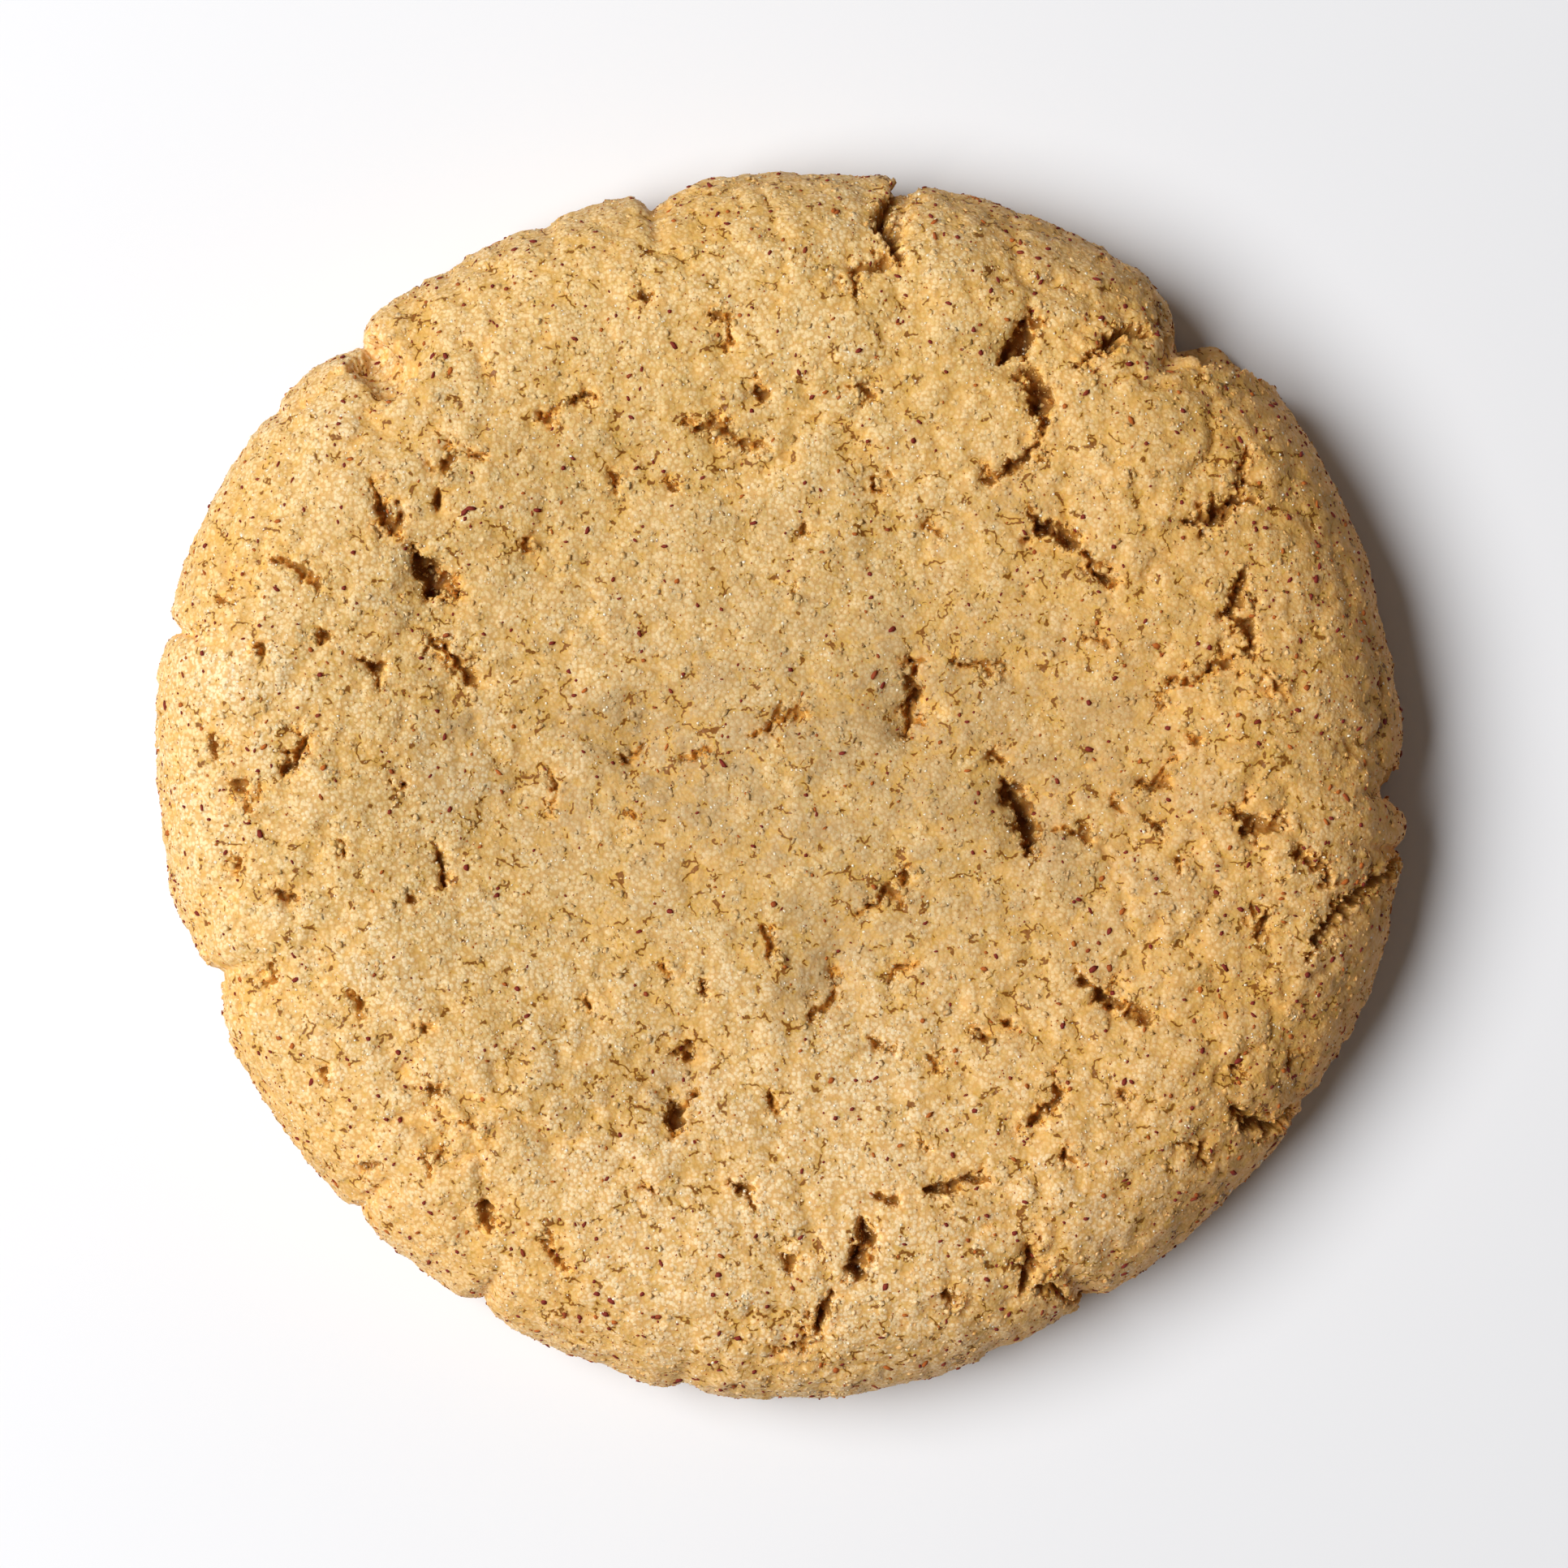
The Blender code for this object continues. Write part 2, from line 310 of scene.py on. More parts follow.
def crown_height(xy):
    x, y = xy.T
    share = np.hypot(x, y) / whole_radius(np.arctan2(y, x))
    z = CROWN + RING_RISE * np.exp(-(((share - RING_AT) / RING_SPREAD) ** 2))
    for column, row, reach, rise in RELIEF:
        px, py = to_plan(column, row)
        z += rise * np.exp(-((x - px) ** 2 + (y - py) ** 2) / (2 * (reach * UNIT * 0.62) ** 2))
    return z + 0.25 * field(flat3(xy), 8.0, 1.0) + 0.12 * field(flat3(xy), 3.5, 2.0)


def form(layout):
    """Surface points for points of the flat layout, where distance from the middle is length along the surface."""
    along = np.hypot(*layout.T)
    angle = np.arctan2(layout[:, 1], layout[:, 0])
    whole, cut = whole_radius(angle), split_depth(angle)
    wobble = 0.09 * field(flat3(np.column_stack((np.cos(angle), np.sin(angle))) * 40.0), 1.6, 5.0, 3, 0.6)
    cut = cut + wobble
    flat = whole - SHOULDER
    turn = np.clip((along - flat) / SHOULDER_ARC, 0.0, 1.0) * math.pi / 2
    radius = np.where(along < flat, along, flat + (SHOULDER - cut) * np.sin(turn))
    drop = np.clip((along - flat - SHOULDER_ARC) / SIDE_ARC, 0.0, 1.0)
    lower = drop * math.pi / 2
    radius = np.where(drop > 0, whole - cut * (1.0 - 0.45 * drop) - TUCK * (1.0 - np.cos(lower)), radius)
    xy = np.column_stack((radius * np.cos(angle), radius * np.sin(angle)))
    top = WAIST + (crown_height(xy) - WAIST) * np.cos(turn) ** 0.9
    z = np.where(drop > 0, WAIST * (1.0 - np.sin(lower) ** 0.9), top)
    return np.column_stack((xy, z)), turn, drop


def torn_lines():
    """The tears as short straight runs with side branches: start, end, half-width and depth at both."""
    rng = np.random.default_rng(11)
    runs = []
    for half, depth, *bends in TEARS:
        bends = np.array([to_plan(*b) for b in bends])
        lengths = np.hypot(*np.diff(bends, axis=0).T)
        at = np.concatenate(([0.0], np.cumsum(lengths)))
        steps = max(3, int(at[-1] / 0.40))
        t = np.linspace(0.0, at[-1], steps + 1)
        line = np.column_stack([np.interp(t, at, bends[:, k]) for k in range(2)])
        line += rng.normal(0.0, 0.05 + 0.10 * half * UNIT, line.shape)
        share = t / at[-1]
        width = min(half, 7.0 + 0.3 * half) * UNIT * (0.15 + 0.70 * np.sin(math.pi * (0.05 + 0.90 * share)) ** 0.8)
        width = 0.09 + width * rng.uniform(0.70, 1.25, len(width))
        deep = depth * np.sin(math.pi * (0.10 + 0.80 * share)) ** 0.5 * rng.uniform(0.8, 1.1, len(width))
        for i in range(steps):
            runs.append((*line[i], *line[i + 1], width[i], width[i + 1], deep[i], deep[i + 1]))
        for _ in range(int(at[-1] / 0.9)):
            i = int(rng.integers(0, steps))
            place = line[i]
            ahead = line[i + 1] - line[i]
            course = math.atan2(ahead[1], ahead[0]) + rng.choice((-1, 1)) * rng.uniform(0.7, 1.5)
            branch = 0.35 * width[i] + rng.uniform(0.03, 0.07)
            for _ in range(int(rng.integers(2, 5))):
                end = place + rng.uniform(0.25, 0.5) * np.array((math.cos(course), math.sin(course)))
                runs.append((*place, *end, branch, branch * 0.7, deep[i] * 0.5, deep[i] * 0.35))
                place, branch = end, branch * 0.7
                course += rng.normal(0.0, 0.5)
    return np.array(runs)


def crooked(xy):
    """Plan positions pushed about a little, which makes ragged outlines of the tears' straight runs."""
    p = flat3(xy)
    return xy + 0.48 * np.column_stack((field(p, 1.3, 51.0, 3, 0.65), field(p, 1.3, 52.0, 3, 0.65)))


def ledge_drop(xy):
    """How much lower the dough sits outside the ledges' lines."""
    total = np.zeros(len(xy))
    for drop, *bends in LEDGES:
        bends = np.array([to_plan(*b) for b in bends])
        nearest, beyond, taper = np.full(len(xy), 1e9), np.zeros(len(xy), bool), np.zeros(len(xy))
        for i, ((ax, ay), (bx, by)) in enumerate(zip(bends[:-1], bends[1:])):
            dx, dy = bx - ax, by - ay
            t = np.clip(((xy[:, 0] - ax) * dx + (xy[:, 1] - ay) * dy) / (dx * dx + dy * dy), 0, 1)
            off = np.hypot(xy[:, 0] - ax - t * dx, xy[:, 1] - ay - t * dy)
            better = off < nearest
            nearest[better] = off[better]
            beyond[better] = (dx * (xy[:, 1] - ay) - dy * (xy[:, 0] - ax) < 0)[better]
            taper[better] = ((i + t) / (len(bends) - 1))[better]
        fade = np.clip(np.sin(math.pi * np.clip(taper, 0.03, 0.97)) * 2.2, 0.0, 1.0)
        total += drop * fade * beyond * np.clip(nearest / 0.20, 0.0, 1.0) * np.clip((4.5 - nearest) / 1.0, 0.0, 1.0)
    return total


def ledge_lines():
    """The ledges' lines as short runs like those of the tears."""
    runs = []
    for _, *bends in LEDGES:
        for a, b in zip(bends[:-1], bends[1:]):
            a, b = to_plan(*a), to_plan(*b)
            middle = (a + b) / 2
            runs += [(*a, *middle, 0.25, 0.25, 0.0, 0.0), (*middle, *b, 0.25, 0.25, 0.0, 0.0)]
    return np.array(runs)


def tear_field(xy, runs, reach=1.6):
    """For each plan position: the distance beyond the nearest tear's edge, and that tear's depth and half-width."""
    edge = np.full(len(xy), 9.0)
    deep, wide = np.zeros(len(xy)), np.full(len(xy), 0.2)
    order = np.argsort(xy[:, 0])
    xs = xy[order, 0]
    for ax, ay, bx, by, wa, wb, da, db in runs:
        low, high = np.searchsorted(xs, (min(ax, bx) - reach, max(ax, bx) + reach))
        pick = order[low:high]
        q = xy[pick]
        near = (q[:, 1] > min(ay, by) - reach) & (q[:, 1] < max(ay, by) + reach)
        pick, q = pick[near], q[near]
        dx, dy = bx - ax, by - ay
        t = np.clip(((q[:, 0] - ax) * dx + (q[:, 1] - ay) * dy) / (dx * dx + dy * dy + 1e-12), 0, 1)
        width = wa + (wb - wa) * t
        off = np.hypot(q[:, 0] - ax - t * dx, q[:, 1] - ay - t * dy) - width
        better = off < edge[pick]
        pick = pick[better]
        edge[pick] = off[better]
        deep[pick] = (da + (db - da) * t)[better]
        wide[pick] = width[better]
    return edge, deep, wide


def lattice(spacing, extent, rng, jitter=0.28):
    """A hexagonal lattice with a little jitter."""
    rows = np.arange(-extent, extent, spacing * math.sqrt(3) / 2)
    columns = np.arange(-extent, extent, spacing)
    x, y = np.meshgrid(columns, rows)
    x = x + np.where(np.arange(len(rows)) % 2, spacing / 2, 0.0)[:, None]
    points = np.column_stack((x.ravel(), y.ravel()))
    return points + rng.uniform(-jitter, jitter, points.shape) * spacing


def triangulate(points):
    found = geometry.delaunay_2d_cdt([Vector(p) for p in points.tolist()], [], [], 0, 1e-7, False)
    if len(found[0]) != len(points) or np.abs(np.array(found[0]) - points).max() > 1e-4:
        raise RuntimeError("points of the layout coincide")
    return np.array(found[2])


def vertex_normals(points, faces):
    a, b, c = (points[faces[:, k]] for k in range(3))
    n = np.cross(b - a, c - a)
    out = np.column_stack([
        sum(np.bincount(faces[:, k], n[:, axis], len(points)) for k in range(3)) for axis in range(3)
    ])
    return out / np.maximum(np.linalg.norm(out, axis=1, keepdims=True), 1e-12)


def cell_edges(points, size, seed):
    """Cells about an uneven lattice: each point's distance from its cell's edge, and a random number for its cell."""
    rng = np.random.default_rng(seed)
    seeds = lattice(size * 1.07, 54.0, rng, 0.42)
    number = rng.random(len(seeds))
    warp = np.column_stack((field(flat3(points), size * 0.5, seed, 3, 0.6), field(flat3(points), size * 0.5, seed + 1, 3, 0.6)))
    q = points + warp * size * 0.34
    gap, own = np.empty(len(q)), np.empty(len(q), int)
    order = np.argsort(q[:, 0])
    for start in range(0, len(q), 2000):
        part = order[start:start + 2000]
        x = q[part, 0]
        near = np.flatnonzero((seeds[:, 0] > x[0] - 2.6 * size) & (seeds[:, 0] < x[-1] + 2.6 * size))
        d = np.hypot(q[part, 0][:, None] - seeds[near, 0], q[part, 1][:, None] - seeds[near, 1])
        two = np.argpartition(d, 1, axis=1)[:, :2]
        values = np.take_along_axis(d, two, 1)
        apart = np.hypot(*(seeds[near[two[:, 0]]] - seeds[near[two[:, 1]]]).T)
        gap[part] = np.abs(values[:, 1] ** 2 - values[:, 0] ** 2) / (2.0 * apart)
        own[part] = near[two[np.arange(len(part)), values.argmin(1)]]
    return gap, number[own]


def knobs(points, size, seed):
    """Rounded knobs of about that size with creases between them: 1 at a knob's middle, 0 in the creases."""
    q = (points / size + (seed, seed * 0.7, seed * 1.3)).tolist()
    near = np.fromiter((noise.voronoi(p)[0][0] for p in q), float, len(q))
    return 1.0 - np.clip(near / 0.75, 0.0, 1.0) ** 2


def make_object(name, points_mm, faces, material, smooth=True, attributes=()):
    mesh = bpy.data.meshes.new(name)
    mesh.vertices.add(len(points_mm))
    mesh.vertices.foreach_set("co", (points_mm * MM).astype(np.float32).ravel())
    mesh.loops.add(len(faces) * 3)
    mesh.loops.foreach_set("vertex_index", faces.astype(np.int32).ravel())
    mesh.polygons.add(len(faces))
    mesh.polygons.foreach_set("loop_start", np.arange(0, len(faces) * 3, 3, dtype=np.int32))
    mesh.update(calc_edges=True)
    if mesh.validate():
        print("mesh", name, "had to be repaired")
    for key, values in attributes:
        layer = mesh.attributes.new(key, "FLOAT", "POINT")
        layer.data.foreach_set("value", np.asarray(values, np.float32))
    if smooth:
        mesh.shade_smooth()
    obj = bpy.data.objects.new(name, mesh)
    bpy.context.scene.collection.objects.link(obj)
    obj.data.materials.append(material)
    return obj


# ---------------------------------------------------------------- the body
def body_shape():
    rng = np.random.default_rng(4)
    runs = torn_lines()
    fine_lines = np.concatenate((runs, ledge_lines()))

    def limit(points):
        return whole_radius(np.arctan2(points[:, 1], points[:, 0])) - SHOULDER + SHOULDER_ARC + SIDE_ARC

    # Points of the layout: coarse everywhere, fine along the tears, and coarser again on the side.
    coarse = lattice(COARSE, 56.0, rng)
    fine = lattice(FINE, 56.0, rng, 0.22)
    side = lattice(SIDE, 56.0, rng)
    waist_at = limit(coarse) - SIDE_ARC
    coarse = coarse[np.hypot(*coarse.T) < waist_at + 0.3]
    side_reach = np.hypot(*side.T)
    side = side[(side_reach > limit(side) - SIDE_ARC + 0.3) & (side_reach < limit(side) - SIDE * 0.6)]
    fine = fine[np.hypot(*fine.T) < limit(fine) - SIDE_ARC]

    def wanted(points, margin):
        """True where the layout wants its fine points: along tears, short splits and the splits of the rim."""
        place, turn, _ = form(points)
        angle = np.arctan2(points[:, 1], points[:, 0])
        split = np.zeros(len(points), bool)
        for at, depth, before, after in SPLITS:
            off = (np.degrees(angle) - at + 180.0) % 360.0 - 180.0
            split |= (off > -before - 0.3) & (off < min(after, 1.2) * 0.8) & (depth > 10)
        split &= turn > 0.6
        return (tear_field(crooked(place[:, :2]), fine_lines, 1.2)[0] < FINE_REACH + margin) | split

    fine = fine[fine_strip(fine, fine_lines)]
    fine = fine[wanted(fine, 0.0)]
    coarse = coarse[~wanted(coarse, 0.05)]
    rim_angle = np.linspace(0.0, 2 * math.pi, 560, endpoint=False)
    ring = np.column_stack((np.cos(rim_angle), np.sin(rim_angle)))
    ring *= limit(ring)[:, None]
    layout = np.concatenate((ring, coarse, fine, side))
    faces = triangulate(layout)

    base, turn, drop = form(layout)
    a, b, c = (layout[faces[:, k]] for k in range(3))
    area = (b[:, 0] - a[:, 0]) * (c[:, 1] - a[:, 1]) - (b[:, 1] - a[:, 1]) * (c[:, 0] - a[:, 0])
    faces = np.where((area < 0)[:, None], faces[:, ::-1], faces)
    normals = vertex_normals(base, faces)

    # Lumps, broken plates of crust at uneven heights with valleys between them, and the crumb's own knobs.
    flat = flat3(layout)
    gap_big, number_big = cell_edges(layout, 6.5, 21)
    gap_mid, number_mid = cell_edges(layout, 2.5, 22)
    broken_big = np.clip(0.70 + 1.1 * field(flat, 9.0, 8.0), 0.0, 1.0)
    broken_mid = np.clip(0.70 + 1.3 * field(flat, 4.5, 9.0, 2), 0.0, 1.0)
    valley_big = np.exp(-gap_big / 0.55) * broken_big
    valley_mid = np.exp(-gap_mid / 0.28) * broken_mid
    outer = np.clip(0.25 + 1.3 * (np.hypot(layout[:, 0] + 2.0, layout[:, 1]) / 45.0) ** 2, 0.0, 0.85)
    outer *= np.clip(1.1 - 0.45 * turn, 0.55, 1.0)
    knob, knob_small = knobs(base, 1.5, 31.0), knobs(base, 0.8, 47.0)
    number_small = cell_edges(layout, 0.75, 25)[1]
    number_tiny = cell_edges(layout, 0.38, 26)[1]
    rise = 0.13 * field(base, 4.2, 3.0, 2)
    rise += outer * (0.36 * (number_big - 0.5) * (1.0 - np.exp(-gap_big / 0.7)) - 0.60 * valley_big)
    rise += (0.35 + 0.65 * outer) * (0.11 * (number_mid - 0.5) * (1.0 - np.exp(-gap_mid / 0.30)) - 0.23 * valley_mid)
    rise += 0.05 * (knob - 0.5) + 0.05 * (knob_small - 0.5) + 0.06 * (number_small - 0.5)

    edge, deep, wide = tear_field(crooked(base[:, :2]), runs)
    edge = edge + 0.08 * field(base, 0.9, 12.0, 3, 0.75) + 0.24 * (number_small - 0.55) + 0.14 * (number_tiny - 0.5)
    beside = np.exp(-np.maximum(edge, 0.0) / 0.9) * (deep > 0)
    rise += (0.045 + 0.08 * beside) * field(base, 0.75, 7.0, 2, 0.7) + 0.20 * beside * (number_small - 0.5)
    wall = np.clip(-edge / 0.14, 0.0, 1.0)
    middle = np.clip(-edge / np.maximum(wide, 0.10), 0.0, 1.0)
    hollow = 0.10 * np.minimum(deep, 2.4) * beside
    hollow += np.minimum(0.22 + 0.16 * deep, 0.62) * wall + 0.32 * deep * middle * (1.0 + 0.4 * field(base, 0.8, 13.0, 2))
    hollow = np.where(deep > 0, hollow, 0.0)
    hollow += ledge_drop(crooked(base[:, :2]))
    hollow *= np.where(drop > 0, np.clip(1.0 - drop * 3.0, 0.0, 1.0), 1.0)
    rise -= hollow
    base = base + normals * rise[:, None]
    base[:, 2] = np.where(drop >= 1.0, 0.0, np.maximum(base[:, 2], 0.02))

    # What the finishes need to know about each point.
    tear = np.clip(np.where((deep > 0) & (drop <= 0), -edge, -1.0), -1.0, 0.5)
    gap = np.minimum(gap_big + 0.7 * (1.0 - broken_big), gap_mid + 0.6 * (1.0 - broken_mid))
    # Paleness: random mottling of the plates and cells, made less pale as painted shade in the valleys between plates
    # and beside the tears, then given the painted light and shade of the broad patches.
    pale_and_painted_light = 0.56 + 0.10 * (number_mid - 0.5) + 0.14 * (number_big - 0.5) + 0.20 * field(base, 11.0, 61.0, 2) + 0.14 * field(base, 2.0, 62.0, 2)
    pale_and_painted_light -= (0.4 + 0.6 * outer) * (0.44 * np.exp(-gap_big / 0.6) * broken_big + 0.32 * valley_mid) + 0.22 * beside ** 1.5
    for column, row, size, paler in LIGHT_AND_BAKE_PATCHES:
        px, py = to_plan(column, row)
        pale_and_painted_light += paler * bump(np.hypot(base[:, 0] - px, base[:, 1] - py), size * UNIT * 0.8)
    split = np.clip(0.5 * np.exp(-gap_mid / 0.5) * broken_mid + 0.7 * np.exp(-gap_big / 0.7) * broken_big + 0.3 * beside, 0.0, 1.0)
    # Painted shade from the patches above, broken up a little by noise.
    painted_shade = np.zeros(len(base))
    for column, row, size, strength in SHADE_PATCHES:
        px, py = to_plan(column, row)
        painted_shade += strength * bump(np.hypot(base[:, 0] - px, base[:, 1] - py), size * UNIT * 0.8)
    painted_shade = np.clip(painted_shade * (0.75 + 0.7 * field(base, 2.5, 63.0, 2)), 0.0, 1.0)
    # Browning: the rim toasted all round, with painted shade making the right side, the rim on the right and the lower
    # part of the top browner, away from the light.
    toast_and_shade = 0.24 * np.clip((base[:, 0] - 6.0) / 26.0, 0.0, 1.0) + 0.15 * np.clip((-base[:, 1] - 8.0) / 20.0, 0.0, 1.0)
    toast_and_shade += np.clip((turn - 0.10) / 1.1, 0.0, 1.0) * (0.15 + 0.06 * base[:, 0] / 41.0 + 0.40 * np.clip(base[:, 0] / 41.0, 0.0, 1.0) ** 3)

    # Underside, joined to the same ring.
    under = lattice(UNDER, 50.0, rng)
    foot = np.column_stack((base[:560, 0], base[:560, 1]))
    foot_radius = np.interp(np.arctan2(under[:, 1], under[:, 0]) % (2 * math.pi),
                            np.append(rim_angle, 2 * math.pi), np.append(np.hypot(*foot.T), np.hypot(*foot[0])))
    under = under[np.hypot(*under.T) < foot_radius - UNDER * 0.6]
    both = np.concatenate((foot, under))
    under_faces = triangulate(both)
    a, b, c = (both[under_faces[:, k]] for k in range(3))
    area = (b[:, 0] - a[:, 0]) * (c[:, 1] - a[:, 1]) - (b[:, 1] - a[:, 1]) * (c[:, 0] - a[:, 0])
    centre = (a + b + c) / 3
    inner = np.hypot(*centre.T) < np.interp(np.arctan2(centre[:, 1], centre[:, 0]) % (2 * math.pi),
                                            np.append(rim_angle, 2 * math.pi),
                                            np.append(np.hypot(*foot.T), np.hypot(*foot[0]))) + 0.001
    under_faces = np.where((area > 0)[:, None], under_faces[:, ::-1], under_faces)
    under_z = np.clip(0.16 * field(flat3(under), 5.0, 14.0, 3), 0.0, 0.3)
    index = np.where(under_faces < 560, under_faces, under_faces - 560 + len(base))
    points = np.concatenate((base, np.column_stack((under, under_z))))
    points[:, :2] -= (points[:, :2].min(0) + points[:, :2].max(0)) / 2
    low = np.concatenate((np.clip(1.0 - base[:, 2] / 2.2, 0.0, 1.0), np.ones(len(under))))
    low *= np.clip(0.88 + 0.30 * field(points, 6.0, 65.0, 3), 0.68, 0.98)
    return {
        "points": points,
        "faces": np.concatenate((faces, index)),
        "tear": np.concatenate((tear, np.full(len(under), -1.0))),
        "gap": np.concatenate((np.clip(gap, 0.0, 1.5), np.full(len(under), 1.5))),
        "deep": np.concatenate((np.clip(hollow / 1.6, 0.0, 1.0), np.zeros(len(under)))),
        "low": low,
        "pale_and_painted_light": np.concatenate((np.clip(pale_and_painted_light, 0.0, 1.0), np.full(len(under), 0.4))),
        "painted_shade": np.concatenate((painted_shade, np.zeros(len(under)))),
        "toast_and_shade": np.concatenate((np.clip(toast_and_shade, 0.0, 1.0), np.full(len(under), 0.6))),
        "split": np.concatenate((split, np.zeros(len(under)))),
        "top_faces": faces,
    }


def fine_strip(points, runs):
    """True for layout points that may lie near a tear or near a split of the rim; a quick first sieve."""
    angle = np.arctan2(points[:, 1], points[:, 0])
    flat = whole_radius(angle) - SHOULDER
    along = np.hypot(*points.T)
    turn = np.clip((along - flat) / SHOULDER_ARC, 0, 1) * math.pi / 2
    radius = np.where(along < flat, along, flat + SHOULDER * np.sin(turn))
    xy = np.column_stack((radius * np.cos(angle), radius * np.sin(angle)))
    cell = 0.5
    near = np.zeros((200, 200), bool)
    for end in (0, 2):
        at = np.floor(runs[:, end:end + 2] / cell).astype(int) + 100
        for i in range(-3, 4):
            for j in range(-3, 4):
                near[np.clip(at[:, 0] + i, 0, 199), np.clip(at[:, 1] + j, 0, 199)] = True
    at = np.clip(np.floor(xy / cell).astype(int) + 100, 0, 199)
    keep = near[at[:, 0], at[:, 1]]
    for middle, *_ in SPLITS:
        keep |= (np.abs((np.degrees(angle) - middle + 180.0) % 360.0 - 180.0) < 2.0) & (turn > 0.6)
    return keep


# ---------------------------------------------------------------- grains, sugar and spice
def solid_shape(kind):
    """Corners and triangles of a small solid of about unit radius."""
    if kind == "octahedron":
        corners = np.array([(1, 0, 0), (-1, 0, 0), (0, 1, 0), (0, -1, 0), (0, 0, 1), (0, 0, -1)], float)
        ring = (0, 2, 1, 3)
        faces = [(ring[i], ring[(i + 1) % 4], 4) for i in range(4)] + [(ring[(i + 1) % 4], ring[i], 5) for i in range(4)]
        return corners, np.array(faces)
    if kind == "cube":
        corners = np.array([(x, y, z) for x in (-1, 1) for y in (-1, 1) for z in (-1, 1)], float) * 0.62
        quads = ((0, 1, 3, 2), (4, 6, 7, 5), (0, 4, 5, 1), (2, 3, 7, 6), (0, 2, 6, 4), (1, 5, 7, 3))
        return corners, np.array([t for a, b, c, d in quads for t in ((a, b, c), (a, c, d))])
    ball = bpy.data.meshes.new("ball")
    work = bmesh.new()
    bmesh.ops.create_icosphere(work, subdivisions=1, radius=1.0)
    work.to_mesh(ball)
    work.free()
    corners = np.array([v.co[:] for v in ball.vertices])
    faces = np.array([f.vertices[:] for f in ball.polygons])
    bpy.data.meshes.remove(ball)
    return corners, faces


class Scatter:
    """Places on the top and side of the body, picked with a seed."""

    def __init__(self, points, faces):
        self.points, self.faces = points, faces
        self.normals = vertex_normals(points, faces)
        a, b, c = (points[faces[:, k]] for k in range(3))
        self.area = np.linalg.norm(np.cross(b - a, c - a), axis=1) / 2
        self.centre = (a + b + c) / 3

    def pick(self, rng, count, density):
        weight = self.area * density
        chosen = rng.choice(len(self.faces), count, p=weight / weight.sum())
        share = rng.dirichlet((1.0, 1.0, 1.0), count)
        corners = self.faces[chosen]
        place = (self.points[corners] * share[:, :, None]).sum(1)
        normal = (self.normals[corners] * share[:, :, None]).sum(1)
        return place, normal / np.linalg.norm(normal, axis=1, keepdims=True), corners[:, 0]


def turned(rng, normal, lie_flat):
    """Three axes for each bit: any way round, or lying flat on the surface with a small tilt."""
    n = len(normal)
    up = normal + rng.normal(0.0, 0.22, (n, 3)) if lie_flat else rng.normal(size=(n, 3))
    up /= np.linalg.norm(up, axis=1, keepdims=True)
    side = np.cross(up, rng.normal(size=(n, 3)))
    side /= np.linalg.norm(side, axis=1, keepdims=True)
    return np.stack((side, np.cross(up, side), up), axis=1)


def make_bits(name, rng, kind, place, normal, radii, corner, sink, uneven, material, lie_flat=False, smooth=True):
    """One mesh of many small closed solids. sink is how deep each one sits, as a share of its smallest radius."""
    corners, faces = solid_shape(kind)
    n, m = len(place), len(corners)
    solid = corners[None] * rng.uniform(1.0 - uneven, 1.0 + uneven, (n, m, 1)) * radii[:, None, :]
    axes = turned(rng, normal, lie_flat)
    points = np.einsum("nmk,nkj->nmj", solid, axes) + place[:, None]
    points -= (normal * (radii.min(1) * sink)[:, None])[:, None]
    points = points.reshape(-1, 3)
    points[:, 2] = np.maximum(points[:, 2], 0.03)
    index = (np.arange(n)[:, None, None] * m + faces[None]).reshape(-1, 3)
    known = [("tone", np.repeat(rng.random(n), m))]
    # Each bit takes the body's paleness, shade patches and toasting where it sits, so the painted light and shade of
    # the top carry onto it.
    known += [(key, np.repeat(shape_of_body[key][corner], m)) for key in ("pale_and_painted_light", "painted_shade", "toast_and_shade")]
    obj = make_object(name, points, index, material, smooth, known)
    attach(obj, "root")
    print(name, len(index))
    return obj


